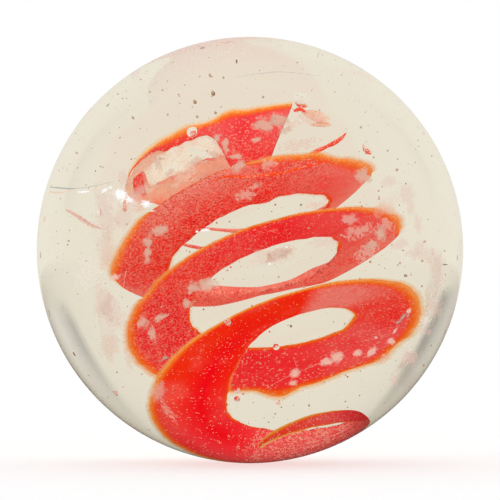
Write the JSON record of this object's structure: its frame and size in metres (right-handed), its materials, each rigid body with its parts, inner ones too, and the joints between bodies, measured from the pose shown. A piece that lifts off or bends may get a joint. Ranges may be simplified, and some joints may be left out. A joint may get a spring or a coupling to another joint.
{
  "type": "glass marble",
  "caption": "Clear glass playing ball with a corkscrew ribbon of red glass and fine air bubbles sealed inside it.",
  "frame": {"origin": "centre of the ball", "axes": "+Z towards the coil's top end, -Y towards the side that the picture shows, +X to its right"},
  "size_m": [0.016, 0.016, 0.016],
  "materials": {
    "clear_glass": "polished, faintly warm clear glass",
    "red_glass": "opaque to milky red glass"
  },
  "bodies": {
    "root": {"clear_glass": "clear_glass", "red_ribbon": "red_glass"}
  },
  "joints": []
}
